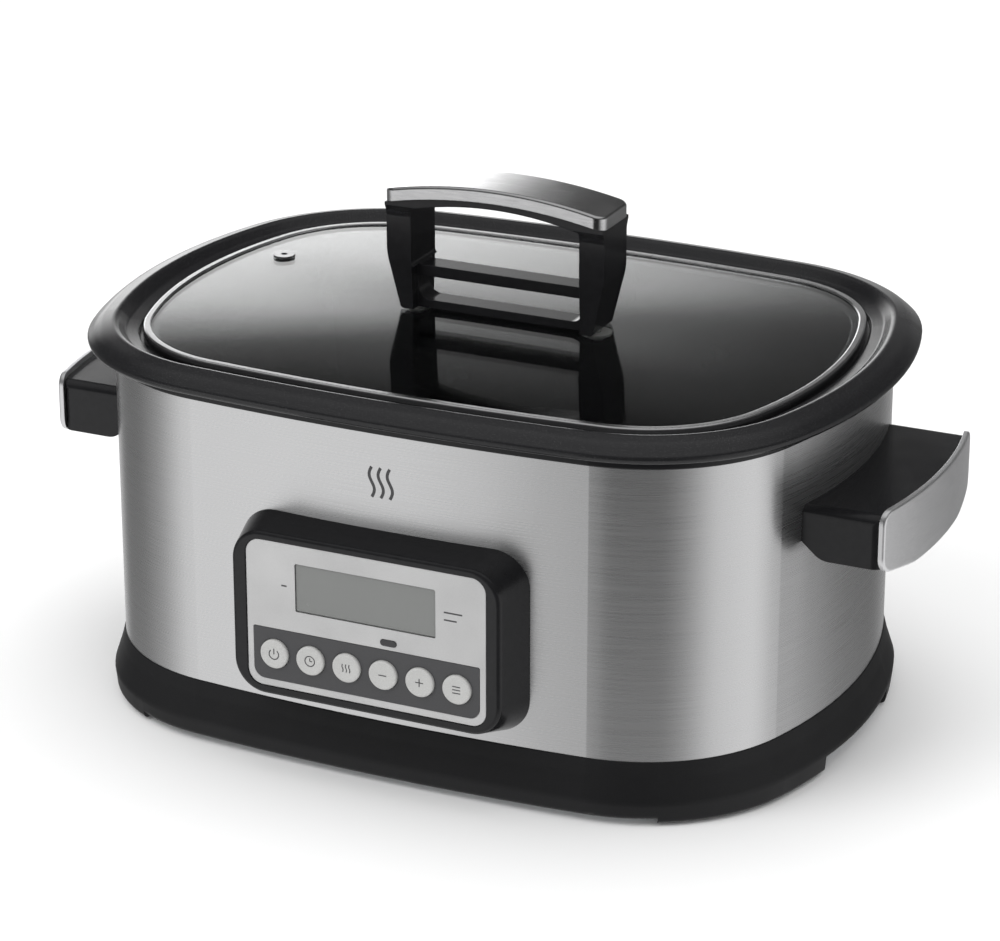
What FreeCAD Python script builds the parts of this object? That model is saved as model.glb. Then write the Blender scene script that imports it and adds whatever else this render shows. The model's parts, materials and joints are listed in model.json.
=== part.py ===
import FreeCAD, Part
import math
import os

from FreeCAD import Vector

# Slow cooker with a lift-out pot, a glass lid and a push-button panel. Millimetres.
# +Z is up, +X is the length, the panel faces -Y, and the origin is on the table
# under the middle of the body.

UP = Vector(0, 0, 1)
ALONG_X = Vector(1, 0, 0)
ALONG_Y = Vector(0, 1, 0)
ORIGIN = Vector(0, 0, 0)

# Body plan: a rounded rectangle whose four sides bow outwards, drawn with eight
# tangent arcs. An "offset" below is the distance outwards from this outline.
HALF_LENGTH = 200.0
HALF_WIDTH = 146.7
CORNER_RADIUS = 89.3
LONG_SIDE_RADIUS = 1255.5
SHORT_SIDE_RADIUS = 259.4

# Heights of the body
TABLE_GAP = 1.5
SKIRT_LOW = 3.5
FLANGE_LOW = 12.0
FLANGE_HIGH = 15.0
SHELL_LOW = 33.0
SHELL_HIGH = 189.0
COLLAR_HIGH = 195.7
RIM_LOW = 196.0
LID_SEAT = 197.2
LID_TOP = 205.0

# Wall thicknesses and clearances
SHEET = 1.0
TOUCH_GAP = 0.3
PLATE = 2.0

# Tapered well and pot
TAPER = 0.1327
WELL_FLOOR = 83.0
WELL_TOP = 188.0
POT_FLOOR_LOW = 87.5
POT_FLOOR_HIGH = 92.0
POT_SHOULDER = 192.5
CORE_OFFSET = -60.0

# Feet, as angles along the plan's short and corner arcs, in degrees
FOOT_START = 10.0
FOOT_END = 62.0
PAD_HEIGHT = 3.0

# Control panel, on the front
PANEL_FRONT = -166.5
PANEL_BACK = -143.5
PLATE_FRONT = -166.0
PLATE_BACK = -164.5
WEB_BACK = -162.5
NECK_HALF = 65.0
NECK_LOW = 51.0
NECK_HIGH = 131.0
NECK_BACK = -138.0
PANEL_CUT = (-170.0, -160.0)
BOARD_FRONT = -153.4
BOARD_THICKNESS = 1.6
BOSS_SPOTS = [(-40.8, 58), (40.8, 58), (-56, 123), (56, 123)]
WINDOW_HALF = 39.0
WINDOW_LOW = 94.0
WINDOW_HIGH = 120.0
STRIP_HALF = 63.0
STRIP_LOW = 54.5
STRIP_HIGH = 82.5
LAMP = (13.0, 86.5)
LAMP_HALF = 4.5
LAMP_TALL = 1.7

# Push buttons
BUTTON_COUNT = 6
BUTTON_PITCH = 20.4
BUTTON_RADIUS = 7.8
BUTTON_HEIGHT = 69.0
BUTTON_FRONT = -167.9
BUTTON_CLEARANCE = 0.3
STEM_BACK = -158.8

# Side handles
GRIP_HALF = 65.0
GRIP_END_REACH = 232.4
GRIP_REACH = 240.0
GRIP_LOW = 126.0
GRIP_HIGH = 154.0
GRIP_WALL = 8.0
CAP_THICKNESS = 3.0

# Lid
GLASS = 4.0
GLASS_EDGE_TOP = 202.7
DOME_OFFSET = -85.0
VENT = Vector(-154, 42.5, 0)
VENT_RADIUS = 1.75

# Lid handle
HANDLE_HALF = 62.0
POST = 14.0
BAR_DEPTH = 17.0
RAIL_DEPTH = 6.5
POST_DEPTH = 14.5
STRIP_BOTTOM = 263.5
STRIP_RISE = 7.0
STRIP_THICKNESS = 7.0
LID_SCREW_XS = (-52, 52)

# Power board on its four posts, inside the base
BOARD_LOW = 30.0
BOARD_HIGH = BOARD_LOW + BOARD_THICKNESS
POST_SPOTS = [(-74, -44), (14, -44), (14, 34), (-74, 34)]

# Cord gland, low on the back: a square neck through the tray with a round bore
GLAND_AXIS = Vector(70, 0, 22.5)
GLAND_START = 134.0
GLAND_SEAT = 151.0
GLAND_COLLAR = 154.0
GLAND_END = 165.0
GLAND_NECK_HALF = 5.9
GLAND_BORE_RADIUS = 4.0

# Screws
SCREW_RADIUS = 1.5
HEAD_RADIUS = 3.25
HEAD_HEIGHT = 2.4


# ---------------------------------------------------------------- outlines

def round_corner(before, corner, after, radius):
    """Start, middle and end of the arc that rounds one corner of a path."""
    if radius == 0:
        return corner, None, corner
    into = before - corner
    into = into * (1 / into.Length)
    out = after - corner
    out = out * (1 / out.Length)
    half_angle = into.getAngle(out) / 2
    reach = radius / math.tan(half_angle)
    inward = into + out
    inward = inward * (1 / inward.Length)
    middle = corner + inward * (radius / math.sin(half_angle) - radius)
    return corner + into * reach, middle, corner + out * reach


def joined_edges(cuts, closed):
    """Lines and arcs through a list of rounded corners."""
    edges = []
    for index, (start, middle, end) in enumerate(cuts):
        if middle is not None:
            edges.append(Part.Arc(start, middle, end).toShape())
        if index + 1 == len(cuts) and not closed:
            break
        following = cuts[(index + 1) % len(cuts)][0]
        if (following - end).Length > 1e-6:
            edges.append(Part.LineSegment(end, following).toShape())
    return edges


def rounded_wire(corners, place):
    """Closed outline of (u, v, rounding) corners, set in space by place(u, v)."""
    points = [place(u, v) for u, v, rounding in corners]
    cuts = []
    for index, point in enumerate(points):
        after = points[(index + 1) % len(points)]
        cuts.append(round_corner(points[index - 1], point, after, corners[index][2]))
    return Part.Wire(joined_edges(cuts, True))


def prism_y(corners, y_front, y_back):
    """Solid of an (x, z, rounding) outline from y_front to y_back."""
    wire = rounded_wire(corners, lambda x, z: Vector(x, y_front, z))
    return Part.Face(wire).extrude(ALONG_Y * (y_back - y_front))


def prism_x(corners, x_from, x_to):
    """Solid of a (y, z, rounding) outline from x_from to x_to."""
    wire = rounded_wire(corners, lambda y, z: Vector(x_from, y, z))
    return Part.Face(wire).extrude(ALONG_X * (x_to - x_from))


def prism_z(corners, z_low, z_high):
    """Solid of an (x, y, rounding) outline from z_low to z_high."""
    wire = rounded_wire(corners, lambda x, y: Vector(x, y, z_low))
    return Part.Face(wire).extrude(UP * (z_high - z_low))


def slab(half, low, high, rounding):
    """Corners of an upright rectangle that is centred on x = 0."""
    return [(u, v, rounding) for u, v in ((-half, low), (half, low), (half, high), (-half, high))]


def block(x_low, x_high, y_low, y_high, z_low, z_high):
    size = (x_high - x_low, y_high - y_low, z_high - z_low)
    return Part.makeBox(*size, Vector(x_low, y_low, z_low))


def rod(radius, start, end):
    """Round bar between two points."""
    return Part.makeCylinder(radius, (end - start).Length, start, end - start)


def corner_centre():
    """Centre of the corner arc, tangent inside the long arc and the short arc."""
    long_centre = Vector(0, HALF_WIDTH - LONG_SIDE_RADIUS, 0)
    short_centre = Vector(HALF_LENGTH - SHORT_SIDE_RADIUS, 0, 0)
    reach_long = LONG_SIDE_RADIUS - CORNER_RADIUS
    reach_short = SHORT_SIDE_RADIUS - CORNER_RADIUS
    between = short_centre - long_centre
    span = between.Length
    along = (reach_long ** 2 - reach_short ** 2 + span ** 2) / (2 * span)
    across = math.sqrt(reach_long ** 2 - along ** 2)
    unit = between * (1 / span)
    return long_centre + unit * along + Vector(unit.y, -unit.x, 0) * across


def plan_arcs():
    """Centre, radius, start angle and end angle of the eight arcs, anticlockwise."""
    corner = corner_centre()
    short_x = HALF_LENGTH - SHORT_SIDE_RADIUS
    long_y = HALF_WIDTH - LONG_SIDE_RADIUS
    short_end = math.atan2(corner.y, corner.x - short_x)
    long_start = math.atan2(corner.y - long_y, corner.x)
    arcs = []
    for side in (1, -1):
        turn = 0 if side == 1 else math.pi
        short = Vector(side * short_x, 0, 0)
        near = Vector(side * corner.x, side * corner.y, 0)
        long = Vector(0, side * long_y, 0)
        far = Vector(-side * corner.x, side * corner.y, 0)
        arcs.append((short, SHORT_SIDE_RADIUS, turn - short_end, turn + short_end))
        arcs.append((near, CORNER_RADIUS, turn + short_end, turn + long_start))
        arcs.append((long, LONG_SIDE_RADIUS, turn + long_start, turn + math.pi - long_start))
        arcs.append((far, CORNER_RADIUS, turn + math.pi - long_start, turn + math.pi - short_end))
    return arcs


def plan_prism(offset, z_low, z_high):
    """Upright solid of the body plan, grown outwards by offset."""
    edges = []
    for centre, radius, start, end in plan_arcs():
        angles = (math.degrees(start), math.degrees(end))
        edges.append(Part.makeCircle(radius + offset, centre + UP * z_low, UP, *angles))
    return Part.Face(Part.Wire(edges)).extrude(UP * (z_high - z_low))


def sweep(section, arcs):
    """Cross-section of (offset, z, rounding) corners, swept along stretches of the body plan."""
    pieces = []
    for centre, radius, start, end in arcs:
        outwards = Vector(math.cos(start), math.sin(start), 0)
        wire = rounded_wire(section, lambda d, z: centre + outwards * (radius + d) + UP * z)
        pieces.append(Part.Face(wire).revolve(centre, UP, math.degrees(end - start)))
    return pieces


def joined(pieces):
    """One solid made of pieces that meet face to face."""
    return pieces[0].multiFuse(pieces[1:]).removeSplitter()


def plan_ring(section):
    """Cross-section swept once round the body plan."""
    return joined(sweep(section, plan_arcs()))


def tube(points, radius, bend):
    """Round wire along straight runs joined by tangent arcs."""
    cuts = [(points[0], None, points[0])]
    for before, point, after in zip(points, points[1:], points[2:]):
        cuts.append(round_corner(before, point, after, bend))
    cuts.append((points[-1], None, points[-1]))
    spine = Part.Wire(joined_edges(cuts, False))
    circle = Part.makeCircle(radius, points[0], points[1] - points[0])
    return spine.makePipeShell([Part.Wire(circle)], True, False)


def screw(head_face, direction, length, radius=SCREW_RADIUS, head_radius=HEAD_RADIUS):
    """Pan-head screw whose head sits on head_face and whose shaft runs along direction."""
    head = rod(head_radius, head_face - direction * HEAD_HEIGHT, head_face)
    head = head.makeFillet(HEAD_HEIGHT / 3, [head.Edges[0], head.Edges[2]])
    shaft = rod(radius, head_face, head_face + direction * length)
    return head.fuse(shaft)


def mirrored_x(shape):
    return shape.mirror(ORIGIN, ALONG_X)


def group(solids):
    return Part.makeCompound(solids)


def without(shape, others):
    """The shape with each of the other solids cut out of it."""
    for other in others:
        shape = shape.cut(other)
    return shape


# ---------------------------------------------------------------- base

def quadrant_arc(centre, radius, low, high, x_side, y_side):
    """An arc given for the +X +Y corner, as it lies in one of the four corners."""
    place = Vector(x_side * centre.x, y_side * centre.y, 0)
    turn = 0 if x_side == 1 else math.pi
    if x_side == y_side:
        return place, radius, turn + low, turn + high
    return place, radius, turn - high, turn - low


def foot_arcs(x_side, y_side, margin):
    """The stretch of the plan over one foot: the end of a short arc and most of a corner arc."""
    corner = corner_centre()
    short = Vector(HALF_LENGTH - SHORT_SIDE_RADIUS, 0, 0)
    meeting = math.atan2(corner.y, corner.x - short.x)
    first = math.radians(FOOT_START + margin / 3)
    last = math.radians(FOOT_END - margin)
    return [
        quadrant_arc(short, SHORT_SIDE_RADIUS, first, meeting, x_side, y_side),
        quadrant_arc(corner, CORNER_RADIUS, meeting, last, x_side, y_side),
    ]


def plain_arcs():
    """The long sides of the plan and the corner stretches between them and the feet."""
    corner = corner_centre()
    last = math.atan2(corner.y - HALF_WIDTH + LONG_SIDE_RADIUS, corner.x)
    first = math.radians(FOOT_END)
    arcs = [arc for arc in plan_arcs() if arc[1] == LONG_SIDE_RADIUS]
    for x_side in (1, -1):
        for y_side in (1, -1):
            arcs.append(quadrant_arc(corner, CORNER_RADIUS, first, last, x_side, y_side))
    return arcs


def raised_arcs():
    """The middle stretches of the short sides, between the feet."""
    notch = math.radians(FOOT_START)
    short_x = HALF_LENGTH - SHORT_SIDE_RADIUS
    right = (Vector(short_x, 0, 0), SHORT_SIDE_RADIUS, -notch, notch)
    left = (Vector(-short_x, 0, 0), SHORT_SIDE_RADIUS, math.pi - notch, math.pi + notch)
    return [right, left]


def feet(section, margin):
    """The section swept over each of the four feet."""
    return [joined(sweep(section, foot_arcs(x, y, margin))) for x in (1, -1) for y in (1, -1)]


def make_rubber_feet():
    top = TABLE_GAP + PAD_HEIGHT
    return feet([(-16, 0, 1), (-1, 0, 1), (-1, top, 0), (-16, top, 0)], 1.5)


def make_foot_clearance():
    """Space that the bottom plate leaves round the feet."""
    return feet([(-20.3, 0, 0), (12, 0, 0), (12, FLANGE_HIGH, 0), (-20.3, FLANGE_HIGH, 0)], -0.5)


def make_base_screws():
    spots = [(side * 90, end * 134.5) for side in (1, -1) for end in (1, -1)]
    spots += [(side * 191, 0) for side in (1, -1)]
    underside = FLANGE_LOW - PLATE
    return [screw(Vector(x, y, underside), UP, 8) for x, y in spots]


def gland_rod(radius, y_from, y_to):
    """Round bar on the gland's axis."""
    return rod(radius, GLAND_AXIS + ALONG_Y * y_from, GLAND_AXIS + ALONG_Y * y_to)


def gland_square(half, y_from, y_to):
    """Square bar on the gland's axis."""
    x = GLAND_AXIS.x
    z = GLAND_AXIS.z
    return block(x - half, x + half, y_from, y_to, z - half, z + half)


def make_gland_boss():
    """Flat pad on the back of the tray for the cord gland."""
    return gland_rod(8.5, 146.8, GLAND_SEAT)


def tray_section(skirt):
    """Wall of the tray, with its lower part given from the outside to the inside."""
    upper = [(0.4, SHELL_LOW, 0.5), (2.4, 25, 25), (6.6, 12.5, 6)]
    inside = [
        (-14, FLANGE_LOW, 0), (-14, FLANGE_HIGH, 0), (1.6, FLANGE_HIGH, 1), (-1.2, 25, 20), (-3.6, 31, 2),
        (-3.6, 38, 0.5), (-1.2, 38, 0.5), (-1.2, SHELL_LOW, 0),
    ]
    return upper + skirt + inside


def skirt_offset(z):
    """Offset of the skirt's outer face, which leans inwards towards the table."""
    return 6.6 - (12.5 - z) / 9


def make_base_tray(pads, screws):
    notch_top = FLANGE_LOW - PLATE
    plain_skirt = [(skirt_offset(SKIRT_LOW), SKIRT_LOW, 3), (1.6, SKIRT_LOW, 1), (2.6, FLANGE_LOW, 0)]
    raised_skirt = [(skirt_offset(notch_top), notch_top, 0.8), (2.4, notch_top, 0), (2.6, FLANGE_LOW, 0)]
    foot_skirt = [(skirt_offset(TABLE_GAP), TABLE_GAP, 2.5), (-20, TABLE_GAP, 1), (-20, FLANGE_LOW, 0)]
    pieces = sweep(tray_section(plain_skirt), plain_arcs())
    pieces += sweep(tray_section(raised_skirt), raised_arcs())
    for x_side in (1, -1):
        for y_side in (1, -1):
            pieces += sweep(tray_section(foot_skirt), foot_arcs(x_side, y_side, 0))
    tray = joined(pieces + [make_gland_boss()])
    return without(tray, pads + screws + [gland_square(GLAND_NECK_HALF + 0.1, 125, 160)])


def make_bottom_plate(screws):
    plate = plan_prism(-2, FLANGE_LOW - PLATE, FLANGE_LOW)
    plate = without(plate, make_foot_clearance() + screws)
    slots = []
    for column in range(6):
        for row in (-1, 1):
            x = (column - 2.5) * 12
            slots.append(block(x - 1.5, x + 1.5, row * 60 - 15, row * 60 + 15, 0, SHELL_LOW))
    return without(plate, slots)


# ---------------------------------------------------------------- cord gland

def make_cord_gland():
    neck = gland_square(GLAND_NECK_HALF, GLAND_START, GLAND_SEAT)
    collar = gland_rod(8.5, GLAND_SEAT, GLAND_COLLAR)
    nose = gland_rod(7.2, GLAND_COLLAR, GLAND_END)
    return neck.multiFuse([collar, nose]).cut(gland_rod(GLAND_BORE_RADIUS, 120, 170))


def make_gland_clip():
    """Plate that holds the gland's square neck from inside the tray."""
    plate = block(GLAND_AXIS.x - 9, GLAND_AXIS.x + 9, 138.5, 141, 15.3, 29.7)
    return plate.cut(gland_square(GLAND_NECK_HALF, 130, 150))


# ---------------------------------------------------------------- shell, collar, well

def make_outer_shell(cutters):
    shell = plan_ring([
        (0, SHELL_LOW, 0), (0, SHELL_HIGH, 0.6), (-5, SHELL_HIGH, 0), (-5, WELL_TOP, 0),
        (-SHEET, WELL_TOP, 0), (-SHEET, SHELL_LOW, 0),
    ])
    outline = slab(NECK_HALF + TOUCH_GAP, NECK_LOW - TOUCH_GAP, NECK_HIGH + TOUCH_GAP, 6)
    return without(shell, cutters + [prism_y(outline, -160, -120)])


def make_rim_collar():
    return plan_ring([
        (-9.6, SHELL_HIGH, 0), (2.0, SHELL_HIGH, 0.8), (2.0, COLLAR_HIGH, 1), (-9.6, COLLAR_HIGH, 0.5),
    ])


def well_offset(z):
    """Offset of the well's outer face at a height."""
    return -16.2 - (WELL_TOP - SHEET - z) * TAPER


def make_heating_well():
    top = WELL_TOP
    low = WELL_FLOOR
    ring = plan_ring([
        (-2.2, top, 0), (-2.2, top - SHEET, 0), (-16.2, top - SHEET, 1.5), (well_offset(low), low, 7),
        (CORE_OFFSET, low, 0), (CORE_OFFSET, low + SHEET, 0), (well_offset(low) - SHEET, low + SHEET, 6),
        (-17.2, top, 1),
    ])
    floor = plan_prism(CORE_OFFSET, low, low + SHEET)
    sensor_hole = rod(12, UP * (low - 5), UP * (low + 5))
    return ring.fuse(floor).removeSplitter().cut(sensor_hole)


def well_wrap(gap, thickness, z_low, z_high):
    """Ring that follows the outside of the tapered well at a gap."""
    inner_high = well_offset(z_high) + gap
    inner_low = well_offset(z_low) + gap
    return plan_ring([
        (inner_low, z_low, 0), (inner_low + thickness, z_low, 0),
        (inner_high + thickness, z_high, 0), (inner_high, z_high, 0),
    ])


# ---------------------------------------------------------------- sensing and electronics

def make_temperature_sensor():
    cap = rod(10, UP * 84.4, UP * 87.2)
    stem = rod(6, UP * 70, UP * 84.4)
    tail = rod(2, UP * 62, UP * 70)
    return cap.multiFuse([stem, tail]).removeSplitter()


def make_sensor_clip():
    plate = rod(18, UP * (WELL_FLOOR - 1.5), UP * WELL_FLOOR)
    return plate.cut(rod(6.2, UP * 70, UP * 90))


def make_thermal_fuse():
    middle = Vector(60, 0, WELL_FLOOR - 3.2)
    body = rod(3, middle - ALONG_X * 12, middle + ALONG_X * 12)
    return body.fuse(rod(0.8, middle - ALONG_X * 26, middle + ALONG_X * 26))


def make_board_posts():
    return [rod(3.5, Vector(x, y, FLANGE_LOW), Vector(x, y, BOARD_LOW)) for x, y in POST_SPOTS]


def make_power_board():
    corners = [(-80, -50, 3), (20, -50, 3), (20, 40, 3), (-80, 40, 3)]
    return prism_z(corners, BOARD_LOW, BOARD_HIGH)


def make_power_board_screws():
    return [rod(3, Vector(x, y, BOARD_HIGH), Vector(x, y, BOARD_HIGH + 2)) for x, y in POST_SPOTS]


def make_relay():
    corners = [(-66, -30, 1), (-38, -30, 1), (-38, -18, 1), (-66, -18, 1)]
    return prism_z(corners, BOARD_HIGH, BOARD_HIGH + 16)


def make_transformer():
    core = block(-30, 8, -12, 20, BOARD_HIGH + 4, BOARD_HIGH + 26)
    coil = block(-24, 2, -18, 26, BOARD_HIGH, BOARD_HIGH + 30)
    return core.fuse(coil).removeSplitter()


def make_terminal_block():
    body = block(-70, -40, 4, 18, BOARD_HIGH, BOARD_HIGH + 14)
    holes = []
    for step in range(3):
        x = -65 + 10 * step
        holes.append(rod(2, Vector(x, 11, BOARD_HIGH + 5), Vector(x, 11, BOARD_HIGH + 20)))
    return without(body, holes)


def make_wiring_harness():
    route = [
        Vector(20, BOARD_FRONT + BOARD_THICKNESS, 60), Vector(20, -132, 60), Vector(16, -112, 44),
        Vector(-10, -84, 44), Vector(-22, -36, 46), Vector(-22, -36, BOARD_HIGH),
    ]
    return tube(route, 2.2, 8)


# ---------------------------------------------------------------- control panel

def button_xs():
    return [(index - (BUTTON_COUNT - 1) / 2) * BUTTON_PITCH for index in range(BUTTON_COUNT)]


def at_button(x, y):
    return Vector(x, y, BUTTON_HEIGHT)


def button_holes():
    front, back = PANEL_CUT
    radius = BUTTON_RADIUS + BUTTON_CLEARANCE
    return [rod(radius, at_button(x, front), at_button(x, back)) for x in button_xs()]


def lamp_prism(grow, y_front, y_back):
    """Oval bar along Y at the indicator's place."""
    x, z = LAMP
    tall = LAMP_TALL + grow
    outline = slab(LAMP_HALF + grow, z - tall, z + tall, tall - 0.01)
    return prism_y([(x + u, v, rounding) for u, v, rounding in outline], y_front, y_back)


def make_panel_body():
    """Tapered block from the shell to the front face, with its front edges rounded."""
    back = rounded_wire(slab(80.5, 39.2, 138.2, 20), lambda x, z: Vector(x, PANEL_BACK, z))
    front = rounded_wire(slab(74.2, 46, 134, 17), lambda x, z: Vector(x, PANEL_FRONT, z))
    body = Part.makeLoft([back, front], True, True)
    front_edges = [edge for edge in body.Edges if edge.BoundBox.YMax < PANEL_FRONT + 0.1]
    return body.makeFillet(2.5, front_edges)


def make_panel_frame(screws):
    body = make_panel_body().cut(plan_prism(0, 0, SHELL_HIGH))
    neck = prism_y(slab(NECK_HALF, NECK_LOW, NECK_HIGH, 5), PLATE_BACK, NECK_BACK)
    recess = prism_y(slab(66.8, 50.2, 130.3, 8.3), PANEL_FRONT - 5, PLATE_BACK)
    cavity = prism_y(slab(NECK_HALF - 3, NECK_LOW + 3, NECK_HIGH - 3, 3), WEB_BACK, NECK_BACK + 5)
    window = prism_y(slab(WINDOW_HALF - 1.5, WINDOW_LOW + 1.5, WINDOW_HIGH - 1.5, 1), *PANEL_CUT)
    cutters = [recess, cavity, window, lamp_prism(0.1, *PANEL_CUT)]
    frame = without(body.fuse(neck), cutters + button_holes())
    bosses = [rod(3, Vector(x, WEB_BACK, z), Vector(x, BOARD_FRONT, z)) for x, z in BOSS_SPOTS]
    return without(frame.multiFuse(bosses).removeSplitter(), screws)


def make_panel_faceplate():
    plate = prism_y(slab(66.5, 50.5, 130, 8), PLATE_FRONT, PLATE_BACK)
    window = prism_y(slab(WINDOW_HALF, WINDOW_LOW, WINDOW_HIGH, 1), *PANEL_CUT)
    cutters = [window, lamp_prism(0.1, *PANEL_CUT), strip_prism(0.2, PANEL_CUT[0])]
    return without(plate, cutters + button_holes())


def strip_prism(grow, y_front):
    low = STRIP_LOW - grow
    high = STRIP_HIGH + grow
    half = STRIP_HALF + grow
    corners = [(-half, low, 6), (half, low, 6), (half, high, 1), (-half, high, 1)]
    return prism_y(corners, y_front, PLATE_FRONT + 1)


def make_button_strip():
    return without(strip_prism(0, PLATE_FRONT - 0.2), button_holes())


def make_display_window():
    corners = slab(WINDOW_HALF - TOUCH_GAP, WINDOW_LOW + TOUCH_GAP, WINDOW_HIGH - TOUCH_GAP, 0.8)
    return prism_y(corners, PLATE_BACK - 0.8, PLATE_BACK)


def make_lcd_module():
    return prism_y(slab(42, 90, 124, 1), WEB_BACK, WEB_BACK + 6)


def make_indicator_light():
    return lamp_prism(0, PLATE_FRONT - 0.3, WEB_BACK + 1)


def make_control_board():
    return prism_y(slab(60, 55.5, 127, 2), BOARD_FRONT, BOARD_FRONT + BOARD_THICKNESS)


def make_control_board_screws():
    back = BOARD_FRONT + BOARD_THICKNESS
    return [screw(Vector(x, back, z), ALONG_Y * -1, 6, 1.1, 2.4) for x, z in BOSS_SPOTS]


def make_tact_switches():
    switches = []
    face = BOARD_FRONT - 3.5
    for x in button_xs():
        body = block(x - 3, x + 3, face, BOARD_FRONT, BUTTON_HEIGHT - 3, BUTTON_HEIGHT + 3)
        plunger = rod(1.7, at_button(x, face - 0.6), at_button(x, face))
        switches.append(body.fuse(plunger))
    return switches


def make_button(x):
    """Round cap with a dished face, a retaining flange and a stem to its switch."""
    cap = rod(BUTTON_RADIUS, at_button(x, BUTTON_FRONT), at_button(x, WEB_BACK + 1))
    rim = [edge for edge in cap.Edges if edge.BoundBox.YMax < BUTTON_FRONT + 0.1]
    cap = cap.makeFillet(0.9, rim)
    dish_radius = 60.0
    dish = Part.makeSphere(dish_radius, at_button(x, BUTTON_FRONT - dish_radius + 0.35))
    flange_back = WEB_BACK + 1.3
    flange = rod(BUTTON_RADIUS + 1.2, at_button(x, WEB_BACK + TOUCH_GAP), at_button(x, flange_back))
    stem = rod(2.5, at_button(x, flange_back), at_button(x, STEM_BACK))
    return cap.cut(dish).multiFuse([flange, stem]).removeSplitter()


def make_panel_screws():
    spots = [(side * 72, z) for side in (1, -1) for z in (62, 116)]
    return [screw(Vector(x, -143.5, z), ALONG_Y * -1, 12) for x, z in spots]


# ---------------------------------------------------------------- side handles

def grip_radius():
    """Radius of the bowed outer face, through the middle and the two ends."""
    bow = GRIP_REACH - GRIP_END_REACH
    return (GRIP_HALF ** 2 + bow ** 2) / (2 * bow)


def bowed_cylinder(extra):
    """Upright cylinder whose +X side is the handle's outer face, grown by extra."""
    centre = Vector(GRIP_REACH - grip_radius(), 0, 0)
    return Part.makeCylinder(grip_radius() + extra, SHELL_HIGH, centre, UP)


def make_handle_bracket(screws):
    side_view = [(180, GRIP_HIGH, 0), (260, GRIP_HIGH, 0), (260, GRIP_LOW, 0), (202, GRIP_LOW, 11)]
    side_view += [(180, 145, 0)]
    body = prism_y(side_view, -GRIP_HALF, GRIP_HALF)
    body = body.common(bowed_cylinder(0))
    edges = []
    for edge in body.Edges:
        box = edge.BoundBox
        upright = box.ZLength > 20 and box.XMin > 225
        long_edge = box.YLength > 100 or box.XLength > 40
        if upright or (long_edge and box.ZMin > GRIP_HIGH - 0.1 and box.XMax > 200):
            edges.append(edge)
    body = body.makeFillet(5, edges)
    hollow = block(150, 260, -GRIP_HALF + GRIP_WALL, GRIP_HALF - GRIP_WALL, 100, GRIP_HIGH - 5)
    hollow = hollow.common(bowed_cylinder(-4))
    body = body.cut(hollow)
    body = body.cut(plan_prism(0, 0, SHELL_HIGH))
    return without(body, screws)


def make_handle_cap():
    """Bowed metal plate with a straight top edge and a bellied lower edge."""
    half = GRIP_HALF + 1
    top = GRIP_HIGH + CAP_THICKNESS
    outline = [(-half, top, 7), (half, top, 7), (half, 125, 9), (half / 2, 120, 60)]
    outline += [(-half / 2, 120, 60), (-half, 125, 9)]
    plate = prism_x(outline, 200, 260)
    ring = bowed_cylinder(CAP_THICKNESS).cut(bowed_cylinder(0))
    cap = plate.common(ring)
    outer = [edge for edge in cap.Edges if outer_edge(edge)]
    return cap.makeFillet(1.4, outer)


def outer_edge(edge):
    """True for an edge that lies on the cap's outer face."""
    centre = Vector(GRIP_REACH - grip_radius(), 0, 0)
    for point in edge.discretize(5):
        flat = Vector(point.x, point.y, 0)
        if abs((flat - centre).Length - grip_radius() - CAP_THICKNESS) > 0.05:
            return False
    return True


def make_handle_screws():
    """Screws of the +X handle, driven outwards through the shell."""
    return [screw(Vector(191.2, y, 147), ALONG_X, 14, 2.0, 4.0) for y in (-60.5, 60.5)]


# ---------------------------------------------------------------- pot

def pot_offset(z):
    """Offset of the pot's outer face at a height."""
    return -20.5 - (POT_SHOULDER - z) * TAPER


def make_cooking_pot():
    wall = 3.5
    ring = plan_ring([
        (-10.2, POT_SHOULDER, 0.8), (-10.2, RIM_LOW, 0.8), (12.6, RIM_LOW, 2), (14.9, 199, 2.5),
        (8.5, 204.6, 10), (-1, 206.9, 4), (-6, 201.5, 2.5), (-12.6, 200.2, 0.8), (-13.4, LID_SEAT, 0.4),
        (-23.4, LID_SEAT, 1.2), (pot_offset(POT_FLOOR_HIGH) - wall, POT_FLOOR_HIGH, 5),
        (CORE_OFFSET, POT_FLOOR_HIGH, 0), (CORE_OFFSET, POT_FLOOR_LOW, 0),
        (pot_offset(POT_FLOOR_LOW), POT_FLOOR_LOW, 10), (-20.5, POT_SHOULDER, 1.5),
    ])
    return ring.fuse(plan_prism(CORE_OFFSET, POT_FLOOR_LOW, POT_FLOOR_HIGH)).removeSplitter()


# ---------------------------------------------------------------- lid

def make_lid_glass(cutters):
    edge_low = GLASS_EDGE_TOP - GLASS
    ring = plan_ring([
        (-16.4, edge_low, 0.6), (-16.4, GLASS_EDGE_TOP, 0.6), (-21, GLASS_EDGE_TOP, 40),
        (DOME_OFFSET, LID_TOP, 0), (DOME_OFFSET, LID_TOP - GLASS, 0), (-21, edge_low, 40),
    ])
    middle = plan_prism(DOME_OFFSET, LID_TOP - GLASS, LID_TOP)
    return without(ring.fuse(middle), cutters)


def make_lid_rim_band():
    seat = LID_SEAT + TOUCH_GAP
    return plan_ring([
        (-15, seat, 0.6), (-15, 203.9, 1.2), (-19.2, 203.9, 0.8), (-19.2, GLASS_EDGE_TOP + 0.1, 0),
        (-16.2, GLASS_EDGE_TOP + 0.1, 0), (-16.2, 198.6, 0), (-19.6, 198.6, 0), (-19.6, seat, 0.4),
    ])


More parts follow.
